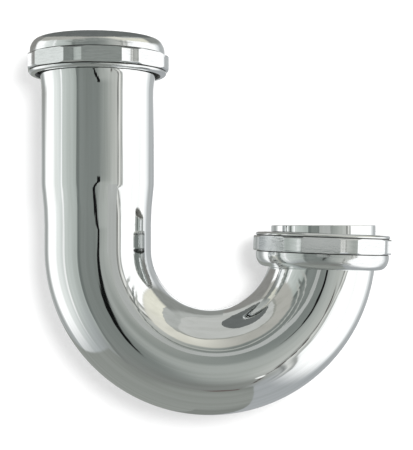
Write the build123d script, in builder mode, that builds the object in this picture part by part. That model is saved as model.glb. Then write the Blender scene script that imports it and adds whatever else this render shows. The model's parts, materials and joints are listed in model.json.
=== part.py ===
"""Bend of a chrome-plated sink trap: a J-shaped brass tube with a slip nut and a rubber washer on each leg.

The bend stands as it is fitted. The inlet leg runs up the Z axis, the outlet leg stands to its right along X,
and the origin is on the inlet axis, where the straight bore of the inlet socket ends. Sizes are millimetres.
"""
import os
from math import cos, radians, sin, sqrt

from build123d import *

# Tube
tube_r = 19.05
tube_wall = 1.14
bend_r = 41.25
outlet_rise = 8.6
outlet_edge_round = 0.25

# Inlet leg above the bend: plain tube, swage, socket, flare and threaded collar
lower_leg = 14.4
swage_length = 8.2
socket_depth = 36.1
slip_clearance = 0.15
socket_wall = 0.9
flare_start = 0.4
flare_length = 3.2
flare_step = 0.6
neck_length = 1.0
collar_ramp = 0.6
collar_length = 5.9
collar_step = 0.5
collar_wall = 1.45
collar_edge = 0.4
swage_foot_round = 90.0
swage_head_round = 20.0
flare_round = 4.0
collar_round = 0.3

# Rubber washer
washer_thick = 3.2
washer_hole_margin = 0.25
washer_edge_round = 0.3

# Slip nut, cast with eight flats. Both threads are plain cylinders on their pitch line
nut_height = 12.7
thread_clearance = 0.1
thread_half_depth = 0.4
rim_wall = 2.75
rim_height = 1.5
rim_round = 1.3
flat_wall = 3.0
flat_count = 8
lug_rise = 0.95
lug_edge = 0.5
band_height = 5.4
shoulder_wall = 2.45
dome_foot_height = 9.4
dome_round = 3.3
flange_thick = 2.0
flange_land = 1.0
flange_edge_round = 0.3
relief_height = 3.6
relief_step = 0.45
mouth_chamfer = 0.6
nut_play = 0.35

# How the nuts stand: turned about their own axes, and the loose outlet nut a little tipped
inlet_nut_turn = 2.8
outlet_nut_turn = 13.5
outlet_nut_tip = 2.0
outlet_nut_drop = 3.0

# Heights along the inlet leg
swage_head_z = -socket_depth
swage_foot_z = swage_head_z - swage_length
bend_z = swage_foot_z - lower_leg
neck_z = flare_start + flare_length
collar_foot_z = neck_z + neck_length
collar_z = collar_foot_z + collar_ramp
collar_mouth_z = collar_z + collar_length

# Radii, each worked out from what it fits
waterway_r = tube_r - tube_wall
socket_r = tube_r + slip_clearance
neck_r = socket_r + flare_step
collar_bore_r = neck_r + collar_step
collar_r = collar_bore_r + collar_wall
nut_thread_r = collar_r + thread_clearance
relief_r = nut_thread_r + relief_step
washer_r = nut_thread_r - thread_half_depth - washer_hole_margin
rim_r = nut_thread_r + rim_wall
flat_r = nut_thread_r + flat_wall
corner_r = flat_r + lug_rise
shoulder_r = nut_thread_r + shoulder_wall

# The loose nut reaches below the start of the bend, so its hole is eased for the lean of the tube there
outlet_x = 2 * bend_r
outlet_end_z = bend_z + outlet_rise
flange_reach = outlet_nut_drop + nut_height - outlet_rise
bend_inner_r = bend_r - tube_r
axis_lean = bend_r - sqrt(bend_r**2 - flange_reach**2)
wall_lean = bend_inner_r - sqrt(bend_inner_r**2 - flange_reach**2)
flange_hole_r = tube_r + max(axis_lean, wall_lean - axis_lean) + nut_play
washer_hole_r = flange_hole_r - washer_hole_margin
dome_top_r = flange_hole_r + flange_land


def leg_profile(tube, socket, neck, collar):
    """Half section of the inlet leg, from the bend up to the collar's mouth, closed on the leg's axis."""
    with BuildSketch(Plane.XZ) as half_section:
        with BuildLine():
            FilletPolyline(
                (tube, bend_z),
                (tube, swage_foot_z),
                (socket, swage_head_z),
                (socket, flare_start),
                (neck, neck_z),
                (neck, collar_foot_z),
                (collar, collar_z),
                (collar, collar_mouth_z),
                radius=(swage_foot_round, swage_head_round, flare_round, flare_round, collar_round, collar_round),
            )
            Polyline((collar, collar_mouth_z), (0, collar_mouth_z), (0, bend_z), (tube, bend_z))
        make_face()
    return half_section.sketch


# The tube is one piece: its outside is built first, and the waterway is then taken out of it
outside = (tube_r, socket_r + socket_wall, neck_r + socket_wall, collar_r)
inside = (waterway_r, socket_r, neck_r, collar_bore_r)

with BuildPart() as j_bend_tube:
    for radii, mode in ((outside, Mode.ADD), (inside, Mode.SUBTRACT)):
        with BuildLine(Plane.XZ):
            bend = CenterArc((bend_r, bend_z), bend_r, 180, 180)
            Line(bend @ 1, (outlet_x, outlet_end_z))
        with BuildSketch(Plane.XY.offset(bend_z)):
            Circle(radii[0])
        sweep(mode=mode)
        revolve(leg_profile(*radii), axis=Axis.Z, mode=mode)
    outlet_rim = j_bend_tube.faces().filter_by(Plane.XY).sort_by(Axis.Z)[0]
    fillet(outlet_rim.edges(), outlet_edge_round)
    collar_rim = j_bend_tube.faces().filter_by(Plane.XY).sort_by(Axis.Z)[-1]
    chamfer(collar_rim.edges(), collar_edge)


def slip_nut(mouth):
    """A slip nut whose open, threaded end lies on the plane and whose body grows along the plane's normal."""
    section = Plane(mouth.origin, x_dir=mouth.x_dir, z_dir=-mouth.y_dir)
    band_top = rim_height + band_height
    with BuildPart() as nut:
        with BuildSketch(section):
            with BuildLine():
                Line((0, 0), (rim_r - rim_round, 0))
                RadiusArc((rim_r - rim_round, 0), (rim_r, rim_round), -rim_round)
                Polyline(
                    (rim_r, rim_round),
                    (rim_r, rim_height),
                    (corner_r - lug_edge, rim_height),
                    (corner_r, rim_height + lug_edge),
                    (corner_r, band_top - lug_edge),
                    (corner_r - lug_edge, band_top),
                    (shoulder_r, band_top),
                    (shoulder_r, dome_foot_height),
                )
                RadiusArc((shoulder_r, dome_foot_height), (dome_top_r, nut_height), -dome_round)
                Polyline((dome_top_r, nut_height), (0, nut_height), (0, 0))
            make_face()
        revolve(axis=Axis(mouth.origin, mouth.z_dir))
        with BuildSketch(mouth):
            RegularPolygon(flat_r, flat_count, major_radius=False, rotation=180 / flat_count)
        extrude(amount=nut_height, mode=Mode.INTERSECT)
        with BuildSketch(mouth):
            Circle(flange_hole_r)
        extrude(amount=nut_height, mode=Mode.SUBTRACT)
        with BuildSketch(mouth):
            Circle(nut_thread_r)
        extrude(amount=nut_height - flange_thick, mode=Mode.SUBTRACT)
        with BuildSketch(mouth.offset(nut_height - flange_thick - relief_height)):
            Circle(relief_r)
        extrude(amount=relief_height, mode=Mode.SUBTRACT)
        round_edges = nut.edges().filter_by(GeomType.CIRCLE)
        along = Axis(mouth.origin, mouth.z_dir)
        mouth_edge = round_edges.sort_by(along)[:2].sort_by(SortBy.RADIUS)[0]
        chamfer(mouth_edge, mouth_chamfer)
        flange_edge = nut.edges().filter_by(GeomType.CIRCLE).sort_by(along)[-2:].sort_by(SortBy.RADIUS)[0]
        fillet(flange_edge, flange_edge_round)
    return nut


def slip_washer(mouth):
    """The flat rubber washer that lies inside a nut, against its flange."""
    with BuildPart() as washer:
        with BuildSketch(mouth.offset(nut_height - flange_thick - washer_thick)):
            Circle(washer_r)
            Circle(washer_hole_r, mode=Mode.SUBTRACT)
        extrude(amount=washer_thick)
        fillet(washer.edges().filter_by(GeomType.CIRCLE), washer_edge_round)
    return washer


# The inlet nut is screwed down over the collar, its mouth below, with its washer on the collar's rim
inlet_mouth_z = collar_mouth_z + washer_thick + flange_thick - nut_height
inlet_mouth = Plane(Location((0, 0, inlet_mouth_z), (0, 0, inlet_nut_turn)))

# The outlet nut hangs loose about the start of the bend, its mouth above, tipped towards the bend
up = Vector(sin(radians(outlet_nut_tip)), 0, cos(radians(outlet_nut_tip)))
flange_centre = Vector(outlet_x - axis_lean, 0, bend_z - flange_reach)
unturned_mouth = Plane(flange_centre + up * nut_height, x_dir=(up.Z, 0, -up.X), z_dir=-up)
outlet_mouth = Plane(unturned_mouth.location * Rotation(0, 0, outlet_nut_turn))

inlet_nut = slip_nut(inlet_mouth)
inlet_washer = slip_washer(inlet_mouth)
outlet_nut = slip_nut(outlet_mouth)
outlet_washer = slip_washer(outlet_mouth)

os.makedirs("parts", exist_ok=True)

j_bend_tube.part.label = "j_bend_tube"
export_step(j_bend_tube.part, "parts/j_bend_tube.step")

inlet_nut.part.label = "inlet_nut"
export_step(inlet_nut.part, "parts/inlet_nut.step")

inlet_washer.part.label = "inlet_washer"
export_step(inlet_washer.part, "parts/inlet_washer.step")

outlet_nut.part.label = "outlet_nut"
export_step(outlet_nut.part, "parts/outlet_nut.step")

outlet_washer.part.label = "outlet_washer"
export_step(outlet_washer.part, "parts/outlet_washer.step")
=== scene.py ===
"""Sink trap bend: a chrome-plated brass J-bend with an octagonal slip nut and a rubber washer on each leg.

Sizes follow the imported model. Lengths are metres; the groups of sizes below give theirs in millimetres.
"""
import json
import math

import bmesh
import bpy
from bpy.props import FloatProperty, FloatVectorProperty, PointerProperty, StringProperty
from mathutils import Matrix, Vector


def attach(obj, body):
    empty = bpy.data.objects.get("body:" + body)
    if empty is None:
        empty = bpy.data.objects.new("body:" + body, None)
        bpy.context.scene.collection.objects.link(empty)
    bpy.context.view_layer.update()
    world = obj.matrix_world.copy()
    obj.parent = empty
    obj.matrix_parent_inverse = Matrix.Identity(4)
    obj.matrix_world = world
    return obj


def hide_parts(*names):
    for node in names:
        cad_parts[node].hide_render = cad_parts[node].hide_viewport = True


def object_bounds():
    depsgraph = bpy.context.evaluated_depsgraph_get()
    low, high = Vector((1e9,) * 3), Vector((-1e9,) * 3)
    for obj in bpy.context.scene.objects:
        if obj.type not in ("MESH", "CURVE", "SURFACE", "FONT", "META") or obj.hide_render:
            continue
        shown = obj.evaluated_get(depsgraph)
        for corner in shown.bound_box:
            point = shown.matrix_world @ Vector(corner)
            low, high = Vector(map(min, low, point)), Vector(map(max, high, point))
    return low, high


bl_info = {
    "name": "Sink Trap Bend",
    "version": (1, 0, 0),
    "blender": (4, 5, 0),
    "location": "3D View > Sidebar > Trap Bend",
    "description": "Builds a chrome-plated sink trap bend with its slip nuts and washers",
    "category": "Add Mesh",
}

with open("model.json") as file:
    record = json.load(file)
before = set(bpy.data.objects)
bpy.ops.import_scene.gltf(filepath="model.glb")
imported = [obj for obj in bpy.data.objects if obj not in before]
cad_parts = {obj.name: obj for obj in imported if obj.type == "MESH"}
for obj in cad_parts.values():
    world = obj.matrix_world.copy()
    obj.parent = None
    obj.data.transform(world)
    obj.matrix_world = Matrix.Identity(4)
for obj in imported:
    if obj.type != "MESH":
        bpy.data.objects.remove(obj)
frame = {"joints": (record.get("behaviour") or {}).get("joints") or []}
cad_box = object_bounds()
cad_middle = (cad_box[0] + cad_box[1]) / 2
joints = {joint["name"]: joint for joint in frame["joints"]}

MM = 0.001
FLATS = 8
UPRIGHT = Matrix.Rotation(math.pi / 2, 4, "X")

# Steps of a full turn of each piece, of the bend's half turn and of the dome's rounding
TUBE_STEPS = 160
BEND_STEPS = 112
NUT_STEPS = 192
WASHER_STEPS = 96
DOME_STEPS = 12

# Degrees of rounding to a facet, rows of vertices to a turn of thread, and the height of a row on a plain leg
FACET_DEGREES = 6
THREAD_ROWS = 12
LEG_ROW = 2 * MM

# Points that are nearer to each other than this are one point
TOUCHING = 1e-7

# The plating keeps back about a fifth of the light, so what it mirrors is this much brighter than its colour
MIRROR_GAIN = 1.25


def length(name, about, millimetres):
    """A size that is written in millimetres."""
    return FloatProperty(name=name, description=about, default=millimetres * MM, min=0.0, unit="LENGTH")


def spot(name, about, millimetres):
    """A place that is written in millimetres."""
    place = [value * MM for value in millimetres]
    return FloatVectorProperty(name=name, description=about, default=place, subtype="TRANSLATION")


def turn(name, about, degrees):
    """An angle that is written in degrees."""
    return FloatProperty(name=name, description=about, default=math.radians(degrees), subtype="ANGLE")


def share(name, about, value):
    """A number from 0 to 1."""
    return FloatProperty(name=name, description=about, default=value, min=0.0, max=1.0, subtype="FACTOR")


def finish_colour(name, about, hex_code):
    """An sRGB hex colour."""
    return StringProperty(name=name, description=about, default=hex_code)


class TrapTubeSizes(bpy.types.PropertyGroup):
    """Sizes of the bent tube."""

    radius: length("Tube radius", "Outside radius of the plain tube", 19.05)
    wall: length("Tube wall", "Wall of the plain tube", 1.14)
    bend: length("Bend radius", "Radius of the bend on the tube's centre line", 41.25)
    outlet_rise: length("Outlet rise", "Straight outlet leg above the bend", 8.6)
    rim_round: length("Outlet rim rounding", "Rounding of the plain outlet end", 0.25)
    lower_leg: length("Lower leg", "Plain inlet leg between the bend and the swage", 14.4)
    swage: length("Swage length", "Taper from plain tube to socket", 8.2)
    swage_foot_round: length("Swage foot rounding", "Easing from the plain tube into the swage", 90.0)
    swage_head_round: length("Swage head rounding", "Easing from the swage into the socket", 20.0)
    socket_depth: length("Socket depth", "Straight socket above the swage", 36.1)
    socket_step: length("Socket step", "Socket bore over the plain tube's outside", 0.15)
    socket_wall: length("Socket wall", "Wall of the socket and the neck", 0.9)
    flare_start: length("Flare start", "Height at which the flare begins", 0.4)
    flare: length("Flare length", "Flare from the socket to the neck", 3.2)
    flare_step: length("Flare step", "Neck bore over the socket bore", 0.6)
    flare_foot_round: length("Flare foot rounding", "Easing from the socket into the flare", 25.0)
    flare_head_round: length("Flare head rounding", "Easing from the flare into the neck", 1.5)
    neck: length("Neck length", "Straight neck under the collar", 1.0)
    collar_ramp: length("Collar ramp", "Rise from the neck to the collar", 0.6)
    collar_round: length("Collar rounding", "Rounding at both ends of the collar's ramp", 0.3)
    collar: length("Collar length", "Threaded collar", 5.9)
    collar_step: length("Collar step", "Collar bore over the neck bore", 0.5)
    collar_wall: length("Collar wall", "Collar bore to the thread's pitch line", 1.45)
    collar_edge: length("Collar edge", "Chamfer at the collar's rim", 0.4)


class TrapNutSizes(bpy.types.PropertyGroup):
    """Sizes of the slip nuts and the washers in them."""

    height: length("Nut height", "Mouth to flange", 12.7)
    pitch_radius: length("Thread radius", "Pitch line of the nut's thread", 21.85)
    rim_radius: length("Rim radius", "Round rim at the mouth", 24.6)
    rim_height: length("Rim height", "Round rim at the mouth", 1.5)
    rim_round: length("Rim rounding", "Rounding of the mouth's outer edge", 1.1)
    flat_radius: length("Flat radius", "Half the size across flats", 24.85)
    flat_round: length("Flat rounding", "Rounding of the edges about each flat", 0.176)
    corner_radius: length("Corner radius", "Outside of the rounded corners", 25.8)
    corner_edge: length("Corner edge", "Chamfer at both ends of a corner", 0.5)
    corner_hollow: length("Corner hollow", "How far a corner is hollowed between its two flats", 0.55)
    band_height: length("Band height", "Height of the flats", 5.4)
    shoulder_radius: length("Shoulder radius", "Round shoulder above the flats", 24.3)
    groove: length("Cast groove", "Depth of the lines above and below the flats", 0.35)
    groove_width: length("Cast groove width", "Width of those lines", 0.36)
    groove_round: length("Cast groove rounding", "Rounding of those lines' edges", 0.05)
    dome_foot: length("Dome foot", "Height at which the dome begins", 8.2)
    dome_foot_round: length("Dome foot rounding", "Rounding of the edge where the dome begins", 0.12)
    dome_round: length("Dome rounding", "Height of the dome's rounding", 4.5)
    flange: length("Flange thickness", "Flange that carries the washer", 2.0)
    flange_land: length("Flange land", "Flat land about the hole", 1.0)
    flange_round: length("Flange rounding", "Rounding of the hole's outer edge and of the washer's seat", 0.3)
    hole_radius: length("Flange hole", "Hole in the flange", 20.0156)
    relief_radius: length("Relief radius", "Groove past the thread", 22.3)
    relief: length("Relief height", "Height of the groove and the washer's place", 3.6)
    bore_round: length("Bore rounding", "Rounding of the turned edges in the bore", 0.1)
    mouth_edge: length("Mouth chamfer", "Lead-in of the thread", 0.6)
    edge_round: length("Cast edge rounding", "Rounding of the cast edges under the plating", 0.22)
    inlet_turn: turn("Inlet nut turn", "How far the inlet nut is turned", 2.8)
    outlet_turn: turn("Outlet nut turn", "How far the outlet nut is turned", 13.5)
    washer_radius: length("Washer radius", "Outside of the washer", 21.2)
    washer_hole: length("Washer hole", "Hole in the washer", 19.7656)
    washer_thick: length("Washer thickness", "Thickness of the washer", 3.2)
    washer_round: length("Washer rounding", "Rounding of the washer's edges", 0.3)


class TrapThread(bpy.types.PropertyGroup):
    """The slip joint thread, 11.5 turns to the inch, right-handed."""

    pitch: length("Pitch", "Rise of one turn", 25.4 / 11.5)
    half_depth: length("Half depth", "Pitch line to crest", 0.4)
    run_out: length("Run-out", "Length over which the thread fades at its ends", 0.7)
    squareness: FloatProperty(
        name="Squareness", description="Flatness of the crests, 1 for a sharp vee", default=1.3, min=1.0)


class TrapFinish(bpy.types.PropertyGroup):
    """Finishes, as sRGB hex colours and roughness values."""

    tube_plate: finish_colour("Tube plating", "Chromium plate on buffed brass", "#EFF1F1")
    tube_lines: finish_colour("Drawn lines", "The same plate over the lines that drawing left", "#E4E6E5")
    tube_roughness: share("Tube roughness", "Roughness of the tube's plating", 0.035)
    waterway: finish_colour("Waterway", "Inside of the tube", "#C2C1BC")
    waterway_tarnish: finish_colour("Waterway tarnish", "Blotches inside the tube", "#A6A5A0")
    nut_plate: finish_colour("Nut plating", "Chromium plate on cast metal", "#ECEEEE")
    nut_grain: finish_colour("Nut grain", "The same plate over the casting's grain", "#E2E4E4")
    nut_roughness: share("Nut roughness", "Roughness of the nuts' plating", 0.11)
    # The nuts' inside colours are partly the unplated metal's grey and partly painted shade: they are
    # darkened to paint shade into the bore, the mouth and the cast grooves
    nut_inside_and_shade: finish_colour("Nut inside", "Bore and cast grooves of the nuts", "#4A4A48")
    nut_inside_tarnish_and_shade: finish_colour("Nut inside tarnish", "Blotches in the bore and the grooves", "#2F2F2D")
    dulled_roughness: share("Dulled roughness", "Roughness of the metal inside the tube and the nuts", 0.4)
    rubber: finish_colour("Washer rubber", "Moulded black rubber", "#1D1D1F")
    rubber_mottle: finish_colour("Rubber mottle", "Paler mottle of the mould", "#333336")
    rubber_roughness: share("Rubber roughness", "Roughness of the washers", 0.62)


class TrapStage(bpy.types.PropertyGroup):
    """Camera, light and surroundings."""

    eye: spot("Eye", "Place of the camera", (0.1, -382.6, -50.04))
    swing: turn("Swing", "How far the camera looks to the right", 5.85)
    lens: FloatProperty(name="Lens", description="Focal length of the camera", default=84.5, unit="CAMERA")
    wall_gap: length("Wall gap", "Tube centre to the white wall behind it", 26.5)
    floor_drop: length("Floor drop", "Bottom of the bend to the floor", 31.0)
    floor_width: length("Floor width", "Width of the floor", 3000.0)
    paper: finish_colour("Paper", "Paper of the wall and the floor", "#BEBEBE")
    paper_glow: FloatProperty(
        name="Paper glow", description="Light added to what the camera sees of it", default=0.42, min=0.0)
    flag_place: spot("Flag place", "Middle of the dark flag, from the inlet nut's top", (-3.0, 3.0, 34.0))
    flag_width: length("Flag width", "Width of the dark flag", 100.0)
    flag_depth: length("Flag depth", "Depth of the dark flag", 130.0)
    flag_felt: finish_colour("Flag felt", "Dark grey felt of the flag", "#616463")
    card_place: spot("Card place", "Middle of the pale card in front of the bend", (64.0, -120.0, -53.5))
    card_width: length("Card width", "Width of the pale card", 48.0)
    card_height: length("Card height", "Height of the pale card", 16.0)
    card_shade: finish_colour("Card shade", "Pale grey card", "#A8AAA8")
    key_place: spot("Key place", "Middle of the soft lamp, from the middle of the trap", (58.0, -500.0, 80.0))
    key_size: length("Key size", "Width of the soft lamp", 140.0)
    key_power: FloatProperty(
        name="Key power", description="Power of the soft lamp", default=2.4, unit="POWER")


SETTINGS = {
    "trap_tube": TrapTubeSizes,
    "trap_nut": TrapNutSizes,
    "trap_thread": TrapThread,
    "trap_finish": TrapFinish,
    "trap_stage": TrapStage,
}


def linear(hex_code):
    """sRGB hex colour to linear RGBA."""
    channels = [int(hex_code[i:i + 2], 16) / 255 for i in (1, 3, 5)]
    return [c / 12.92 if c <= 0.04045 else ((c + 0.055) / 1.055) ** 2.4 for c in channels] + [1.0]


def add_node(tree, kind, inputs=None, **settings):
    """Adds a node. Settings name its properties; inputs go by name or number, as sockets or values."""
    node = tree.nodes.new(kind)
    for key, value in settings.items():
        setattr(node, key, value)
    for key, value in (inputs or {}).items():
        if isinstance(value, bpy.types.NodeSocket):
            tree.links.new(value, node.inputs[key])
        else:
            node.inputs[key].default_value = value
    return node


def set_stops(ramp, stops):
    """Gives a colour ramp its stops, in order: each a place from 0 to 1 and an sRGB hex colour."""
    for i, (place, hex_code) in enumerate(stops):
        if i == 0:
            stop = ramp.elements[0]
        elif i == len(stops) - 1:
            stop = ramp.elements[-1]
        else:
            stop = ramp.elements.new(place)
        stop.position = place
        stop.color = linear(hex_code)


def new_material(name):
    """A material with an empty node tree."""
    material = bpy.data.materials.new(name)
    material.use_nodes = True
    material.node_tree.nodes.clear()
    return material, material.node_tree


def wire_chromium(tree, lines, shades, haze, roughness, bump):
    """Wires a chromium mirror: lines pick from two shades, and a haze from two values of roughness."""
    colours = add_node(tree, "ShaderNodeValToRGB", {"Fac": lines.outputs[0]})
    set_stops(colours.color_ramp, ((0.3, shades[0]), (0.6, shades[1])))
    rough = add_node(tree, "ShaderNodeMapRange", {
        "Value": haze.outputs[0], "To Min": roughness[0], "To Max": roughness[1]})
    plate = add_node(tree, "ShaderNodeBsdfPrincipled", {
        "Base Color": colours.outputs[0], "Metallic": 1.0, "Roughness": rough.outputs[0],
        "Normal": bump.outputs[0]})
    add_node(tree, "ShaderNodeOutputMaterial", {"Surface": plate.outputs[0]})


def bright_chromium_plate():
    """Bright chromium plate on drawn and buffed brass tube: a mirror with faint waves and drawn lines."""
    finish = bpy.context.scene.trap_finish
    material, tree = new_material("bright_chromium_plate_on_brass_tube")
    place = add_node(tree, "ShaderNodeTexCoord").outputs["Object"]
    drawn = add_node(tree, "ShaderNodeAttribute", attribute_name="drawn").outputs["Vector"]
    # Buffing leaves waves some 14 mm long. Drawing leaves lines and a haze that run 40 times as far along the
    # tube. They are drawn 1.6 mm and 0.5 mm across here, coarser than life, so that they show
    along = add_node(tree, "ShaderNodeMapping", {"Vector": drawn, "Scale": (1.0, 1.0, 1 / 40)}).outputs[0]
    waves = add_node(tree, "ShaderNodeTexNoise", {"Vector": place, "Scale": 1 / (14 * MM), "Detail": 1.0})
    lines = add_node(tree, "ShaderNodeTexNoise", {"Vector": along, "Scale": 1 / (1.6 * MM), "Detail": 2.5})
    haze = add_node(tree, "ShaderNodeTexNoise", {"Vector": along, "Scale": 1 / (0.5 * MM), "Detail": 2.0})
    drawing = add_node(tree, "ShaderNodeBump", {
        "Height": lines.outputs[0], "Strength": 0.6, "Distance": 0.04 * MM})
    buffing = add_node(tree, "ShaderNodeBump", {
        "Height": waves.outputs[0], "Normal": drawing.outputs[0], "Strength": 0.35, "Distance": 0.05 * MM})
    shades = (finish.tube_lines, finish.tube_plate)
    roughness = (0.6 * finish.tube_roughness, 1.5 * finish.tube_roughness)
    wire_chromium(tree, lines, shades, haze, roughness, buffing)
    return material


def cast_chromium_plate():
    """Chromium plate on a cast nut: less of a mirror, as the plate shows the casting's fine grain."""
    finish = bpy.context.scene.trap_finish
    material, tree = new_material("chromium_plate_on_cast_nut")
    place = add_node(tree, "ShaderNodeTexCoord").outputs["Object"]
    # Polishing streaks about 0.5 mm high and six times as long, over hollows about 6 mm across
    streaked = add_node(tree, "ShaderNodeMapping", {"Vector": place, "Scale": (1 / 6, 1 / 6, 1.0)}).outputs[0]
    grain = add_node(tree, "ShaderNodeTexNoise", {"Vector": streaked, "Scale": 1 / (0.5 * MM), "Detail": 3.0})
    hollows = add_node(tree, "ShaderNodeTexNoise", {"Vector": place, "Scale": 1 / (6 * MM), "Detail": 1.0})
    coarse = add_node(tree, "ShaderNodeBump", {
        "Height": hollows.outputs[0], "Strength": 0.5, "Distance": 0.06 * MM})
    fine = add_node(tree, "ShaderNodeBump", {
        "Height": grain.outputs[0], "Normal": coarse.outputs[0], "Strength": 0.6, "Distance": 0.02 * MM})
    shades = (finish.nut_grain, finish.nut_plate)
    roughness = (0.6 * finish.nut_roughness, 1.6 * finish.nut_roughness)
    wire_chromium(tree, grain, shades, grain, roughness, fine)
    return material


def dulled_metal(name, light, dark):
    """Unbuffed metal on the inside of a part, dulled and blotched by handling and water."""
    finish = bpy.context.scene.trap_finish
    material, tree = new_material(name)
    place = add_node(tree, "ShaderNodeTexCoord").outputs["Object"]
    # Blotches of tarnish about 5 mm across
    blotches = add_node(tree, "ShaderNodeTexNoise", {"Vector": place, "Scale": 1 / (5 * MM), "Detail": 3.0})
    colours = add_node(tree, "ShaderNodeValToRGB", {"Fac": blotches.outputs[0]})
    set_stops(colours.color_ramp, ((0.0, dark), (1.0, light)))
    metal = add_node(tree, "ShaderNodeBsdfPrincipled", {
        "Base Color": colours.outputs[0], "Metallic": 0.8, "Roughness": finish.dulled_roughness})
    add_node(tree, "ShaderNodeOutputMaterial", {"Surface": metal.outputs[0]})
    return material


def moulded_rubber():
    """Moulded black rubber: matt, with the slight mottle of the mould."""
    finish = bpy.context.scene.trap_finish
    material, tree = new_material("moulded_black_rubber")
    place = add_node(tree, "ShaderNodeTexCoord").outputs["Object"]
    # The mould's mottle is about 1.5 mm across
    mottle = add_node(tree, "ShaderNodeTexNoise", {"Vector": place, "Scale": 1 / (1.5 * MM), "Detail": 3.0})
    colours = add_node(tree, "ShaderNodeValToRGB", {"Fac": mottle.outputs[0]})
    set_stops(colours.color_ramp, ((0.0, finish.rubber), (1.0, finish.rubber_mottle)))
    bump = add_node(tree, "ShaderNodeBump", {
        "Height": mottle.outputs[0], "Strength": 0.4, "Distance": 0.05 * MM})
    rubber = add_node(tree, "ShaderNodeBsdfPrincipled", {
        "Base Color": colours.outputs[0], "Roughness": finish.rubber_roughness, "Normal": bump.outputs[0]})
    add_node(tree, "ShaderNodeOutputMaterial", {"Surface": rubber.outputs[0]})
    return material


def draw_profile(bm, corners, closed):
    """A chain of edges through corners (radius, height, rounding) in the XZ plane, rounded by bevels."""
    chain = [bm.verts.new((radius, 0, height)) for radius, height, _ in corners]
    ends = chain[1:] + chain[:1] if closed else chain[1:]
    for start, end in zip(chain, ends):
        bm.edges.new((start, end))
    for i, (_, _, rounding) in enumerate(corners):
        if not rounding:
            continue
        beside = (corners[i], corners[i - 1], corners[(i + 1) % len(corners)])
        here, before, after = (Vector(corner[:2]) for corner in beside)
        bending = (here - before).angle(after - here)
        steps = max(2, round(math.degrees(bending) / FACET_DEGREES))
        bmesh.ops.bevel(bm, geom=[chain[i]], offset=rounding * math.tan(bending / 2), offset_type="OFFSET",
                        affect="VERTICES", segments=steps, profile=0.5, material=-1)


def divide_upright(bm, radius, low, high, spacing):
    """Divides the profile's upright edge at that radius, between two heights, into rows spaced like that."""
    for edge in list(bm.edges):
        foot, head = sorted(vert.co.z for vert in edge.verts)
        upright = all(abs(vert.co.x - radius) < TOUCHING for vert in edge.verts)
        if upright and low - TOUCHING < foot < head < high + TOUCHING:
            bmesh.ops.subdivide_edges(bm, edges=[edge], cuts=int((head - foot) / spacing))


def spin_about_z(bm, steps):
    """Turns the profile a full turn about the Z axis."""
    bmesh.ops.spin(bm, geom=bm.verts[:] + bm.edges[:], cent=(0, 0, 0), axis=(0, 0, 1), dvec=(0, 0, 0),
                   angle=2 * math.pi, steps=steps, use_merge=True)
    bmesh.ops.remove_doubles(bm, verts=bm.verts[:], dist=TOUCHING)


def cut_thread(bm, radius, low, high, start):
    """Moves the rows at that radius in and out, so that they follow a right-handed screw thread."""
    thread = bpy.context.scene.trap_thread
    for vert in bm.verts:
        x, y, z = vert.co
        if abs(math.hypot(x, y) - radius) > 10 * TOUCHING or not low < z < high:
            continue
        turns = ((z - start) / thread.pitch - math.atan2(y, x) / (2 * math.pi)) % 1.0
        wave = max(-1.0, min(1.0, thread.squareness * (4 * abs(turns - 0.5) - 1)))
        fade_out = min(1.0, (z - low) / thread.run_out, (high - z) / thread.run_out)
        scale = (radius + thread.half_depth * fade_out * wave) / radius
        vert.co.x, vert.co.y = x * scale, y * scale


def open_edges(bm):
    """The edges that have a face on one side only."""
    return [edge for edge in bm.edges if edge.is_boundary]


def verts_of(edges):
    """The vertices of these edges, each once and in the same order every time."""
    return list(dict.fromkeys(vert for edge in edges for vert in edge.verts))


def only(kind, parts):
    """The parts of a bmesh result that are of one kind."""
    return [part for part in parts if isinstance(part, kind)]


def make_piece(bm, name, material, node, body):
    """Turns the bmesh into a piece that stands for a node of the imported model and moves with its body."""
    bmesh.ops.recalc_face_normals(bm, faces=bm.faces[:])
    mesh = bpy.data.meshes.new(name)
    bm.to_mesh(mesh)
    bm.free()
    mesh.shade_smooth()
    mesh.materials.append(material)
    piece = bpy.data.objects.new(name, mesh)
    bpy.context.scene.collection.objects.link(piece)
    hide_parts(node)
    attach(piece, body)
    return piece


def weight_normals(piece):
    """Keeps flat and straight faces true between rounded edges."""
    modifier = piece.modifiers.new("true_faces", "WEIGHTED_NORMAL")
    modifier.mode = "FACE_AREA"
    modifier.weight = 60
    modifier.keep_sharp = False


def tube_levels(sizes):
    """Heights along the inlet leg, named from the bend up, and the height of the outlet's end."""
    swage_head = -sizes.socket_depth
    swage_foot = swage_head - sizes.swage
    bend = swage_foot - sizes.lower_leg
    neck = sizes.flare_start + sizes.flare
    collar = neck + sizes.neck + sizes.collar_ramp
    return {
        "bend": bend,
        "swage_foot": swage_foot,
        "swage_head": swage_head,
        "neck": neck,
        "collar": collar,
        "mouth": collar + sizes.collar,
        "outlet": bend + sizes.outlet_rise,
    }


def leg_side(sizes, levels, radii):
    """One side of the inlet leg's section, from the bend up to the collar."""
    tube, socket, neck, collar = radii
    return [
        (tube, levels["bend"], 0),
        (tube, levels["swage_foot"], sizes.swage_foot_round),
        (socket, levels["swage_head"], sizes.swage_head_round),
        (socket, sizes.flare_start, sizes.flare_foot_round),
        (neck, levels["neck"], sizes.flare_head_round),
        (neck, levels["neck"] + sizes.neck, sizes.collar_round),
        (collar, levels["collar"], sizes.collar_round),
    ]


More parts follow.
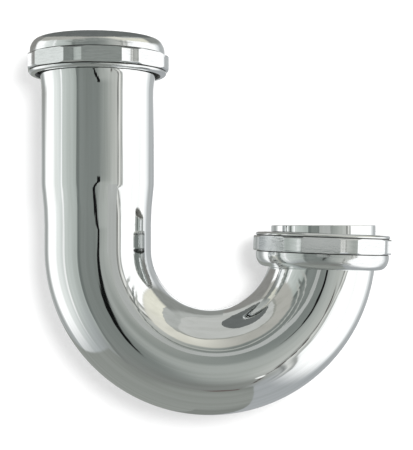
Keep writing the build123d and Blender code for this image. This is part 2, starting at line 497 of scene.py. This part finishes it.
def turn_inlet_leg(bm, sizes, levels):
    """The whole inlet leg, turned from its section and threaded at the collar, with an open foot."""
    socket = sizes.radius + sizes.socket_step
    neck = socket + sizes.flare_step
    bore = neck + sizes.collar_step
    collar = bore + sizes.collar_wall
    outside = (sizes.radius, socket + sizes.socket_wall, neck + sizes.socket_wall, collar)
    inside = (sizes.radius - sizes.wall, socket, neck, bore)
    edge = sizes.collar_edge
    rim = [
        (collar, levels["mouth"] - edge, 0),
        (collar - edge, levels["mouth"], 0),
        (bore + edge, levels["mouth"], 0),
        (bore, levels["mouth"] - edge, 0),
    ]
    section = leg_side(sizes, levels, outside) + rim + leg_side(sizes, levels, inside)[::-1]
    draw_profile(bm, section, closed=False)
    pitch = bpy.context.scene.trap_thread.pitch
    divide_upright(bm, collar, levels["collar"], levels["mouth"], pitch / THREAD_ROWS)
    divide_upright(bm, outside[0], levels["bend"], levels["swage_foot"], LEG_ROW)
    divide_upright(bm, outside[1], levels["swage_head"], sizes.flare_start, LEG_ROW)
    spin_about_z(bm, TUBE_STEPS)
    cut_thread(bm, collar, levels["collar"], levels["mouth"] - edge, start=0.0)


def bend_to_outlet(bm, sizes, levels):
    """Carries the leg's open foot round the bend and up the plain outlet leg, and gives that leg's rims."""
    foot = open_edges(bm)
    centre = (sizes.bend, 0, levels["bend"])
    bent = bmesh.ops.spin(bm, geom=verts_of(foot) + foot, cent=centre, axis=(0, -1, 0), dvec=(0, 0, 0),
                          angle=math.pi, steps=BEND_STEPS)
    outlet = only(bmesh.types.BMEdge, bent["geom_last"])
    raised = bmesh.ops.extrude_edge_only(bm, edges=outlet)["geom"]
    rims = [edge for edge in only(bmesh.types.BMEdge, raised) if edge.is_boundary]
    for vert in verts_of(rims):
        vert.co.z = levels["outlet"]
    return rims


def close_outlet(bm, sizes, levels, rims):
    """Draws the outer rim in to the inner one, which closes the tube's end, and rounds both edges."""
    outlet_axis = Vector((2 * sizes.bend, 0))
    middle_radius = sizes.radius - sizes.wall / 2
    outer_rim = [edge for edge in rims if (edge.verts[0].co.xy - outlet_axis).length > middle_radius]
    closing = bmesh.ops.extrude_edge_only(bm, edges=outer_rim)["geom"]
    shrink = (sizes.radius - sizes.wall) / sizes.radius
    bmesh.ops.scale(bm, vec=(shrink, shrink, 1), space=Matrix.Translation((-outlet_axis.x, 0, 0)),
                    verts=only(bmesh.types.BMVert, closing))
    meeting = 0.05 * MM
    bmesh.ops.remove_doubles(bm, verts=verts_of(open_edges(bm)), dist=meeting)
    bmesh.ops.recalc_face_normals(bm, faces=bm.faces[:])

    def at_end(vert):
        return abs(vert.co.z - levels["outlet"]) < 0.01 * MM and vert.co.x > sizes.bend

    sharp = [edge for edge in bm.edges if edge.calc_face_angle(0) > math.radians(60)]
    rims = [edge for edge in sharp if all(at_end(vert) for vert in edge.verts)]
    bmesh.ops.bevel(bm, geom=rims, offset=sizes.rim_round, offset_type="OFFSET", affect="EDGES",
                    segments=4, profile=0.5, material=-1)
    bmesh.ops.recalc_face_normals(bm, faces=bm.faces[:])


def place_in_tube(point, bend, bend_level):
    """Where a point lies in the tube: away from the bend's centre, across it, and along the centre line."""
    rise = point.z - bend_level
    out = Vector((point.x - bend, 0, min(0.0, rise))).normalized()
    middle = Vector((bend + bend * out.x, 0, max(point.z, bend_level + bend * out.z)))
    round_bend = bend * math.acos(max(-1.0, min(1.0, -out.x)))
    along = round_bend + math.copysign(max(0.0, rise), out.x)
    return Vector(((point - middle).dot(out), point.y, along))


def mark_drawing(bm, sizes, levels):
    """Writes each point's place in the tube, which the finish follows, and picks out the waterway's faces."""
    drawn = bm.verts.layers.float_vector.new("drawn")
    for vert in bm.verts:
        vert[drawn] = place_in_tube(vert.co, sizes.bend, levels["bend"])
    # A face looks inwards where a step of 1 mm along its normal brings it this much nearer to the centre line
    inwards = 0.3 * MM
    for face in bm.faces:
        middle = sum((vert[drawn] for vert in face.verts), Vector()) / len(face.verts)
        ahead = place_in_tube(face.calc_center_median() + face.normal * MM, sizes.bend, levels["bend"])
        face.material_index = int(ahead.xy.length < middle.xy.length - inwards)


class TRAP_OT_tube(bpy.types.Operator):
    """Builds the bent tube with its swage, socket, flare and threaded collar"""

    bl_idname = "trap.tube"
    bl_label = "Build Tube"

    def execute(self, context):
        sizes = context.scene.trap_tube
        finish = context.scene.trap_finish
        levels = tube_levels(sizes)
        bm = bmesh.new()
        turn_inlet_leg(bm, sizes, levels)
        rims = bend_to_outlet(bm, sizes, levels)
        close_outlet(bm, sizes, levels, rims)
        mark_drawing(bm, sizes, levels)
        plate = bright_chromium_plate()
        piece = make_piece(bm, "chrome_j_bend_tube", plate, "j_bend_tube", "trap_bend")
        inside = dulled_metal("drawn_brass_waterway", finish.waterway, finish.waterway_tarnish)
        piece.data.materials.append(inside)
        weight_normals(piece)
        return {"FINISHED"}


def nut_profile(sizes):
    """Section of a slip nut: up its outside from the mouth, over the dome, and back down the bore."""
    low = sizes.rim_height
    top = low + sizes.band_height
    seat = sizes.height - sizes.flange
    relief_foot = seat - sizes.relief
    rim, corner, shoulder = sizes.rim_radius, sizes.corner_radius, sizes.shoulder_radius
    edge, cast = sizes.corner_edge, sizes.edge_round
    groove, width, line = sizes.groove, sizes.groove_width, sizes.groove_round
    outside = [
        (sizes.pitch_radius + sizes.mouth_edge, 0, sizes.bore_round),
        (rim, 0, sizes.rim_round),
        (rim, low - width, line),
        (rim - groove, low - width, line),
        (rim - groove, low, line),
        (corner - edge, low, cast),
        (corner, low + edge, cast),
        (corner, top - edge, cast),
        (corner - edge, top, cast),
        (shoulder - groove, top, line),
        (shoulder - groove, top + width, line),
        (shoulder, top + width, line),
        (shoulder, sizes.dome_foot, sizes.dome_foot_round),
    ]
    dome_top = sizes.hole_radius + sizes.flange_land
    centre = sizes.height - sizes.dome_round
    foot_angle = math.asin((sizes.dome_foot - centre) / sizes.dome_round)
    dome = []
    for i in range(1, DOME_STEPS):
        angle = foot_angle + (math.pi / 2 - foot_angle) * i / DOME_STEPS
        spread = math.cos(angle) / math.cos(foot_angle)
        radius = dome_top + (shoulder - dome_top) * spread
        dome.append((radius, centre + sizes.dome_round * math.sin(angle), 0))
    bore = [
        (dome_top, sizes.height, 0),
        (sizes.hole_radius, sizes.height, sizes.flange_round),
        (sizes.hole_radius, seat, sizes.bore_round),
        (sizes.relief_radius, seat, sizes.flange_round),
        (sizes.relief_radius, relief_foot, sizes.bore_round),
        (sizes.pitch_radius, relief_foot, 0),
        (sizes.pitch_radius, sizes.mouth_edge, 0),
    ]
    return outside + dome + bore


def hollow_corners(bm, sizes):
    """Draws the band in at its eight corners, deepest midway between two flats."""
    half_side = math.pi / FLATS
    half_corner = half_side - math.acos(sizes.flat_radius / sizes.corner_radius)
    for vert in bm.verts:
        x, y, z = vert.co
        radius = math.hypot(x, y)
        if radius < sizes.flat_radius:
            continue
        off_corner = abs(math.atan2(y, x) % (2 * half_side) - half_side) / half_corner
        depth = sizes.corner_hollow * max(0.0, 1 - off_corner ** 2)
        scale = (radius - depth) / radius
        vert.co.x, vert.co.y = x * scale, y * scale


def cut_flats(bm, sizes):
    """Cuts the eight flats and rounds the edges about them."""
    cut = []
    for i in range(FLATS):
        angle = 2 * math.pi * i / FLATS
        facing = Vector((math.cos(angle), math.sin(angle), 0))
        made = bmesh.ops.bisect_plane(bm, geom=bm.verts[:] + bm.edges[:] + bm.faces[:], dist=TOUCHING,
                                      plane_co=facing * sizes.flat_radius, plane_no=facing, clear_outer=True)
        ring = only(bmesh.types.BMEdge, made["geom_cut"])
        flats = bmesh.ops.contextual_create(bm, geom=ring)["faces"]
        cut += [edge for flat in flats for edge in flat.edges]
    bmesh.ops.bevel(bm, geom=list(dict.fromkeys(cut)), offset=sizes.flat_round, offset_type="OFFSET",
                    affect="EDGES", segments=3, profile=0.5, material=-1, clamp_overlap=True)


def nut_bmesh(sizes, start):
    """A slip nut with its mouth at the origin and its flange up the Z axis."""
    pitch = bpy.context.scene.trap_thread.pitch
    thread = (sizes.pitch_radius, sizes.mouth_edge, sizes.height - sizes.flange - sizes.relief)
    bm = bmesh.new()
    draw_profile(bm, nut_profile(sizes), closed=True)
    divide_upright(bm, *thread, pitch / THREAD_ROWS)
    spin_about_z(bm, NUT_STEPS)
    cut_thread(bm, *thread, start)
    hollow_corners(bm, sizes)
    cut_flats(bm, sizes)
    return bm


def mark_bore_and_shaded_grooves(bm, sizes):
    """Picks out the bore under the flange, which buffing doesn't reach, and the cast grooves: both take the
    dark inside colour, which paints shade into them.
    """
    bore_reach = sizes.relief_radius + 0.2 * MM
    groove_reach = sizes.shoulder_radius - 0.03 * MM
    for face in bm.faces:
        middle = face.calc_center_median()
        out = middle.xy.length
        in_bore = out < bore_reach and middle.z < sizes.height - sizes.flange
        in_groove = out < groove_reach and sizes.rim_height / 2 < middle.z < sizes.dome_foot
        face.material_index = int(in_bore or in_groove)


def nut_places():
    """Matrix of each nut: mouth at its origin, flange up its Z axis."""
    sizes = bpy.context.scene.trap_nut
    inlet = joints["inlet_nut_screw"]
    outlet = joints["outlet_nut_spin"]
    inlet_place = Matrix.Translation(Vector(inlet["pos_m"])) @ Matrix.Rotation(sizes.inlet_turn, 4, "Z")
    axis = Vector(outlet["axis"]).normalized()
    across = Vector((axis.z, 0, -axis.x))
    mouth_down = Matrix((across, axis.cross(across) * -1, -axis)).transposed().to_4x4()
    flange_centre = Vector(outlet["pos_m"])
    outlet_place = (Matrix.Translation(flange_centre + axis * sizes.height) @ mouth_down
                    @ Matrix.Rotation(sizes.outlet_turn, 4, "Z"))
    return inlet_place, outlet_place


class TRAP_OT_nuts(bpy.types.Operator):
    """Builds the inlet and outlet slip nuts"""

    bl_idname = "trap.nuts"
    bl_label = "Build Slip Nuts"

    def execute(self, context):
        sizes = context.scene.trap_nut
        finish = context.scene.trap_finish
        pitch = context.scene.trap_thread.pitch
        plate = cast_chromium_plate()
        # Unplated metal, darkened further as painted shade in the bore, the mouth and the cast grooves
        inside = dulled_metal("unplated_inside_and_painted_shade", finish.nut_inside_and_shade, finish.nut_inside_tarnish_and_shade)
        inlet_place, outlet_place = nut_places()
        # The inlet nut's thread lies in the collar's thread
        inlet_start = sizes.inlet_turn / (2 * math.pi) * pitch - inlet_place.translation.z
        for side, place, start in (("inlet", inlet_place, inlet_start), ("outlet", outlet_place, 0.0)):
            bm = nut_bmesh(sizes, start)
            mark_bore_and_shaded_grooves(bm, sizes)
            bmesh.ops.transform(bm, matrix=place, verts=bm.verts[:])
            nut = f"{side}_nut"
            piece = make_piece(bm, f"chrome_{side}_slip_nut", plate, nut, nut)
            piece.data.materials.append(inside)
            weight_normals(piece)
        return {"FINISHED"}


class TRAP_OT_washers(bpy.types.Operator):
    """Builds the rubber washers that lie in the nuts"""

    bl_idname = "trap.washers"
    bl_label = "Build Washers"

    def execute(self, context):
        sizes = context.scene.trap_nut
        rubber = moulded_rubber()
        top = sizes.height - sizes.flange
        low = top - sizes.washer_thick
        section = [
            (sizes.washer_hole, low, sizes.washer_round),
            (sizes.washer_radius, low, sizes.washer_round),
            (sizes.washer_radius, top, sizes.washer_round),
            (sizes.washer_hole, top, sizes.washer_round),
        ]
        for side, place in zip(("inlet", "outlet"), nut_places()):
            bm = bmesh.new()
            draw_profile(bm, section, closed=True)
            spin_about_z(bm, WASHER_STEPS)
            bmesh.ops.transform(bm, matrix=place, verts=bm.verts[:])
            washer = f"{side}_washer"
            piece = make_piece(bm, f"rubber_{side}_washer", rubber, washer, washer)
            weight_normals(piece)
        return {"FINISHED"}


# What the plating sees round the horizon: degrees from the front, right positive, and sRGB colour
SURROUND = (
    (-180, "#979A99"), (-165, "#B0B3B2"), (-148, "#8E9190"), (-138, "#A6A9A8"), (-130, "#FFFFFF"),
    (-104, "#FFFFFF"), (-99, "#E2E5E3"), (-81, "#CDD1CF"), (-79.5, "#F4F4F4"), (-77.5, "#F4F4F4"),
    (-76, "#C0C5C2"), (-45, "#A1A7A3"), (-43, "#616664"), (-40, "#6C726F"), (-37, "#7A7F7C"),
    (-12, "#747976"), (0, "#777C79"), (15, "#8F938F"), (30, "#ACAEAA"), (38.8, "#B6B7B3"),
    (40.2, "#5E5F5C"), (41.8, "#5E5F5C"), (42.8, "#E8E8E4"), (45.5, "#CFCFCB"), (47.6, "#9C9D9A"),
    (49.2, "#9C9D9A"), (51, "#FFFFFF"), (112, "#FFFFFF"), (122, "#DCDEDF"), (131, "#A6A9AA"),
    (165, "#B4B6B7"), (180, "#979A99"),
)

# Planes through the straight edges of the floor against the panels and the front, each by its normal
LEFT_EDGE = (-1.036, -0.09, 1.0)
RIGHT_EDGE = (2.75, 0.14, 1.0)
FRONT_EDGE = (0.14, -1.59, 1.0)

# Planes that the panels' dimming is measured from, and the direction of the catch light
LEFT_FOOT = (-1.036, 0.2, 1.0)
RIGHT_FOOT = (2.75, -0.6, 1.0)
CATCH_LIGHT = (0.3237, -0.694, -0.643)

# Streaks under the arch of the ceiling: degrees up and sRGB colour
CEILING_STREAKS = ((12, "#A6A8A4"), (17, "#727673"), (20, "#A9ABA6"))


def fade(value, start, end):
    """From 0 at the start to 1 at the end, smoothly. A socket's id_data is the node tree that it is in."""
    return add_node(value.id_data, "ShaderNodeMapRange", {"Value": value, "From Min": start, "From Max": end},
                    interpolation_type="SMOOTHSTEP").outputs[0]


def turned(angle, start, end):
    """Fades an angle between two angles in degrees."""
    return fade(angle, math.radians(start), math.radians(end))


def all_of(*factors):
    """Product of the factors, of which the first is a socket."""
    result = factors[0]
    for factor in factors[1:]:
        result = add_node(result.id_data, "ShaderNodeMath", {0: result, 1: factor},
                          operation="MULTIPLY").outputs[0]
    return result


def distance(value, middle):
    """How far a value is from a middle, to either side."""
    off = add_node(value.id_data, "ShaderNodeMath", {0: value, 1: middle}, operation="SUBTRACT")
    return add_node(value.id_data, "ShaderNodeMath", {0: off.outputs[0]}, operation="ABSOLUTE").outputs[0]


def shifted(angle, factor, degrees):
    """An angle, moved by so many degrees where the factor is 1."""
    return add_node(factor.id_data, "ShaderNodeMath", {0: factor, 1: math.radians(degrees), 2: angle},
                    operation="MULTIPLY_ADD").outputs[0]


def side_of(aim, normal):
    """Which side of the plane with that normal the plating looks to."""
    return add_node(aim.id_data, "ShaderNodeVectorMath", {0: aim, 1: normal},
                    operation="DOT_PRODUCT").outputs["Value"]


def lay(below, shade, *factors):
    """Lays an sRGB shade over the colour below it, as far as the product of the factors."""
    return add_node(below.id_data, "ShaderNodeMix", {0: all_of(*factors), 6: below, 7: linear(shade)},
                    data_type="RGBA").outputs[2]


def panels_and_floor(aim, azimuth, height):
    """The side panels, the grey open front and the floor."""
    # The right edge of the open front leans outwards below the horizon
    lean = all_of(turned(height, -4, -16), turned(height, -46, -28), turned(azimuth, 8, 25),
                  turned(azimuth, 100, 60))
    seen = shifted(azimuth, lean, 16)
    round_about = add_node(aim.id_data, "ShaderNodeMapRange", {
        "Value": seen, "From Min": -math.pi, "From Max": math.pi}).outputs[0]
    sides = add_node(aim.id_data, "ShaderNodeValToRGB", {"Fac": round_about})
    set_stops(sides.color_ramp, [((degrees + 180) / 360, shade) for degrees, shade in SURROUND])
    colour = sides.outputs[0]

    # The panels and the front grow dimmer towards the floor, and the front is paler at its right
    colour = lay(colour, "#9EA2A3", fade(side_of(aim, LEFT_FOOT), 0.56, -0.1), turned(azimuth, -44, -50))
    colour = lay(colour, "#9C9FA1", fade(side_of(aim, RIGHT_FOOT), 1.42, 0.45), turned(azimuth, 26, 34))
    colour = lay(colour, "#797B78", turned(height, -20, -58), turned(azimuth, -72, -46),
                 turned(azimuth, 38, 24))
    colour = lay(colour, "#B4B7B3", turned(height, 4, -4), turned(height, -46, -20), turned(azimuth, -8, 6),
                 turned(azimuth, 44, 30), 0.45)

    # The floor meets them at straight edges, and is darker far down to the left
    floor = all_of(*(fade(side_of(aim, edge), 0.02, -0.02) for edge in (LEFT_EDGE, RIGHT_EDGE, FRONT_EDGE)))
    colour = lay(colour, "#898C88", floor)
    return lay(colour, "#797C78", floor, turned(height, -70, -52), turned(azimuth, -75, -35))


def gap_and_seam(colour, aim, azimuth, height):
    """A dark curved gap in the front, dark seams to the right of it and at its foot, and a catch light."""
    tree = colour.id_data
    # The gap stands a little right of the front's middle and swings left on its way down
    down = add_node(tree, "ShaderNodeMath", {0: height, 1: 0.0}, operation="MINIMUM").outputs[0]
    depth = add_node(tree, "ShaderNodeMath", {0: down, 1: math.radians(10)}, operation="DIVIDE").outputs[0]
    swing = add_node(tree, "ShaderNodeMath", {0: depth}, operation="TANH").outputs[0]
    middle = shifted(shifted(0.0, turned(height, -12, -1), 1.5), swing, 10.5)
    # It narrows from 2.4 to 0.9 degrees on either side of its middle
    reach = add_node(tree, "ShaderNodeMapRange", {
        "Value": height, "From Min": math.radians(-10), "From Max": math.radians(-24),
        "To Min": math.radians(2.4), "To Max": math.radians(0.9)}).outputs[0]
    off_gap = add_node(tree, "ShaderNodeMath", {0: distance(azimuth, middle), 1: reach},
                       operation="DIVIDE").outputs[0]
    colour = lay(colour, "#101111", fade(off_gap, 1.3, 0.8), turned(height, 2.6, 1.8),
                 turned(height, -26, -19))
    off_seam = distance(azimuth, math.radians(26.5))
    colour = lay(colour, "#5A5654", turned(off_seam, 1.1, 0.5), turned(height, -6, -9),
                 turned(height, -50, -46))
    off_front = distance(side_of(aim, FRONT_EDGE), 0.0)
    colour = lay(colour, "#5B4C49", fade(off_front, 0.05, 0.02), turned(azimuth, 0, 12),
                 turned(azimuth, 27, 25))
    return lay(colour, "#F4F4F2", fade(side_of(aim, CATCH_LIGHT), 0.9993, 0.9998))


def ceiling(colour, azimuth, height):
    """Streaks under a warm arch over the front, a darker band, grey above, and patches towards the back."""
    off_middle = distance(azimuth, math.radians(3))
    arch = shifted(height, turned(off_middle, 46, 8), -11)
    for streak, shade in CEILING_STREAKS:
        off_streak = distance(arch, math.radians(streak))
        colour = lay(colour, shade, turned(off_streak, 1.3, 0.4), turned(off_middle, 62, 50))
    warm = turned(arch, 24, 28)
    colour = lay(colour, "#A6A59F", warm)
    colour = lay(colour, "#D0CEC4", warm, turned(azimuth, -12, 32))
    colour = lay(colour, "#DAD8CB", warm, turned(azimuth, 45, 70))
    band = shifted(height, turned(off_middle, 52, 5), -14)
    colour = lay(colour, "#94958F", turned(band, 42, 43.5))
    colour = lay(colour, "#A8AAA7", turned(band, 42, 43.5), turned(azimuth, 35, 55))
    top = shifted(band, turned(azimuth, 30, 80), -12)
    colour = lay(colour, "#B5B6B3", turned(top, 44.5, 46))
    colour = lay(colour, "#858784", turned(azimuth, 98, 108), turned(height, 17, 27), turned(height, 52, 44))
    colour = lay(colour, "#FFFFFF", turned(azimuth, 152, 162), turned(height, 4, 8), turned(height, 22, 14))
    return lay(colour, "#83827F", turned(azimuth, -124, -131), turned(height, 3, 11), turned(height, 49, 40))


def surround_world():
    """A white room to the camera; to the plating, a light tent with an open front and a grey floor."""
    world = bpy.data.worlds.new("studio_surround")
    world.use_nodes = True
    tree = world.node_tree
    tree.nodes.clear()
    aim = add_node(tree, "ShaderNodeTexCoord").outputs["Generated"]
    right, back, up = add_node(tree, "ShaderNodeSeparateXYZ", {0: aim}).outputs
    front = add_node(tree, "ShaderNodeMath", {0: back, 1: -1.0}, operation="MULTIPLY").outputs[0]
    azimuth = add_node(tree, "ShaderNodeMath", {0: right, 1: front}, operation="ARCTAN2").outputs[0]
    height = add_node(tree, "ShaderNodeMath", {0: up}, operation="ARCSINE").outputs[0]
    colour = panels_and_floor(aim, azimuth, height)
    colour = gap_and_seam(colour, aim, azimuth, height)
    colour = ceiling(colour, azimuth, height)
    plating = add_node(tree, "ShaderNodeBackground", {"Color": colour, "Strength": MIRROR_GAIN})
    room = add_node(tree, "ShaderNodeBackground", {"Color": (1, 1, 1, 1), "Strength": 1.0})
    glossy = add_node(tree, "ShaderNodeLightPath").outputs["Is Glossy Ray"]
    seen = add_node(tree, "ShaderNodeMixShader", {0: glossy, 1: room.outputs[0], 2: plating.outputs[0]})
    add_node(tree, "ShaderNodeOutputWorld", {"Surface": seen.outputs[0]})
    bpy.context.scene.world = world


def white_paper():
    """Matt white paper: it keeps the soft shadow, glows a little to the camera, and is clear from behind."""
    stage = bpy.context.scene.trap_stage
    material, tree = new_material("matt_white_paper")
    paper = add_node(tree, "ShaderNodeBsdfDiffuse", {"Color": linear(stage.paper)})
    glow = add_node(tree, "ShaderNodeEmission", {"Strength": stage.paper_glow})
    lit = add_node(tree, "ShaderNodeAddShader", {0: paper.outputs[0], 1: glow.outputs[0]})
    camera = add_node(tree, "ShaderNodeLightPath").outputs["Is Camera Ray"]
    seen = add_node(tree, "ShaderNodeMixShader", {0: camera, 1: paper.outputs[0], 2: lit.outputs[0]})
    behind = add_node(tree, "ShaderNodeNewGeometry").outputs["Backfacing"]
    clear = add_node(tree, "ShaderNodeBsdfTransparent")
    sheet = add_node(tree, "ShaderNodeMixShader", {0: behind, 1: seen.outputs[0], 2: clear.outputs[0]})
    add_node(tree, "ShaderNodeOutputMaterial", {"Surface": sheet.outputs[0]})
    return material


def even_card(name, hex_code):
    """Card of one even brightness, whatever light falls on it."""
    material, tree = new_material(name)
    even = add_node(tree, "ShaderNodeBsdfPrincipled", {
        "Base Color": linear("#000000"), "Roughness": 1.0, "Emission Color": linear(hex_code),
        "Emission Strength": MIRROR_GAIN})
    add_node(tree, "ShaderNodeOutputMaterial", {"Surface": even.outputs[0]})
    return material


def add_panel(name, place, material, sides=4):
    """A flat panel of the stage, 1 m across before its place scales it, with four sides or nearly round."""
    bm = bmesh.new()
    if sides == 4:
        bmesh.ops.create_grid(bm, x_segments=1, y_segments=1, size=0.5, matrix=place)
    else:
        bmesh.ops.create_circle(bm, cap_ends=True, segments=sides, radius=0.5, matrix=place)
    mesh = bpy.data.meshes.new(name)
    bm.to_mesh(mesh)
    bm.free()
    mesh.materials.append(material)
    panel = bpy.data.objects.new(name, mesh)
    bpy.context.scene.collection.objects.link(panel)
    return panel


def add_paper(stage):
    """The white wall and the pale floor, which the plating doesn't see."""
    wall_place = Matrix.Translation((cad_middle.x, stage.wall_gap, cad_middle.z)) @ UPRIGHT
    floor_middle = Matrix.Translation((cad_middle.x, 0, cad_box[0].z - stage.floor_drop))
    floor_place = floor_middle @ Matrix.Scale(stage.floor_width, 4)
    paper = white_paper()
    for panel in (add_panel("white_wall", wall_place, paper), add_panel("pale_floor", floor_place, paper)):
        panel.visible_glossy = False


def add_cards(stage):
    """A dark flag over the inlet nut and a pale card in front of the bend, which only the plating sees."""
    above_nut = Vector((0, 0, cad_box[1].z))
    flag_size = Matrix.Diagonal((stage.flag_width, stage.flag_depth, 1, 1))
    card_size = Matrix.Diagonal((stage.card_width, stage.card_height, 1, 1))
    flag_place = Matrix.Translation(above_nut + Vector(stage.flag_place)) @ flag_size
    card_place = Matrix.Translation(stage.card_place) @ UPRIGHT @ card_size
    flag = add_panel("dark_flag", flag_place, even_card("dark_grey_felt", stage.flag_felt), sides=48)
    card = add_panel("pale_card", card_place, even_card("pale_grey_card", stage.card_shade))
    for panel in (flag, card):
        panel.visible_camera = False
        panel.visible_diffuse = False
        panel.visible_shadow = False


def add_key_lamp(stage):
    """The soft lamp in front and to the upper right, which throws the shadow."""
    lamp = bpy.data.lights.new("soft_key", "AREA")
    lamp.shape = "DISK"
    lamp.size = stage.key_size
    lamp.energy = stage.key_power
    key = bpy.data.objects.new("soft_key", lamp)
    key.location = cad_middle + Vector(stage.key_place)
    key.rotation_mode = "QUATERNION"
    key.rotation_quaternion = (cad_middle - key.location).to_track_quat("-Z", "Y")
    key.visible_glossy = False
    bpy.context.scene.collection.objects.link(key)


def add_camera(stage):
    """The camera in front of the inlet leg, level with the outlet's end and aimed a little to the right."""
    camera = bpy.data.cameras.new("camera")
    camera.lens = stage.lens
    camera.clip_start = 10 * MM
    eye = bpy.data.objects.new("camera", camera)
    eye.location = stage.eye
    eye.rotation_euler = (math.pi / 2, 0, -stage.swing)
    bpy.context.scene.collection.objects.link(eye)
    bpy.context.scene.camera = eye


class TRAP_OT_stage(bpy.types.Operator):
    """Sets up the camera, the lamp, the white wall, the pale floor and what the plating mirrors"""

    bl_idname = "trap.stage"
    bl_label = "Set Up Stage"

    def execute(self, context):
        stage = context.scene.trap_stage
        context.scene.view_settings.view_transform = "Standard"
        surround_world()
        add_paper(stage)
        add_cards(stage)
        add_key_lamp(stage)
        add_camera(stage)
        return {"FINISHED"}


class TRAP_PT_panel(bpy.types.Panel):
    """Lists the building steps of the trap bend"""

    bl_idname = "TRAP_PT_panel"
    bl_label = "Trap Bend"
    bl_space_type = "VIEW_3D"
    bl_region_type = "UI"
    bl_category = "Trap Bend"

    def draw(self, context):
        for operator in OPERATORS:
            self.layout.operator(operator.bl_idname)
        for name, group in SETTINGS.items():
            box = self.layout.box()
            for prop in group.__annotations__:
                box.prop(getattr(context.scene, name), prop)


OPERATORS = (TRAP_OT_tube, TRAP_OT_nuts, TRAP_OT_washers, TRAP_OT_stage)
CLASSES = (*SETTINGS.values(), *OPERATORS, TRAP_PT_panel)


def register():
    for cls in CLASSES:
        bpy.utils.register_class(cls)
    for name, group in SETTINGS.items():
        setattr(bpy.types.Scene, name, PointerProperty(type=group))


def unregister():
    for name in SETTINGS:
        delattr(bpy.types.Scene, name)
    for cls in reversed(CLASSES):
        bpy.utils.unregister_class(cls)


def main():
    """Registers the add-on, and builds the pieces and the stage."""
    register()
    bpy.ops.trap.tube()
    bpy.ops.trap.nuts()
    bpy.ops.trap.washers()
    bpy.ops.trap.stage()


if __name__ == "__main__":
    main()
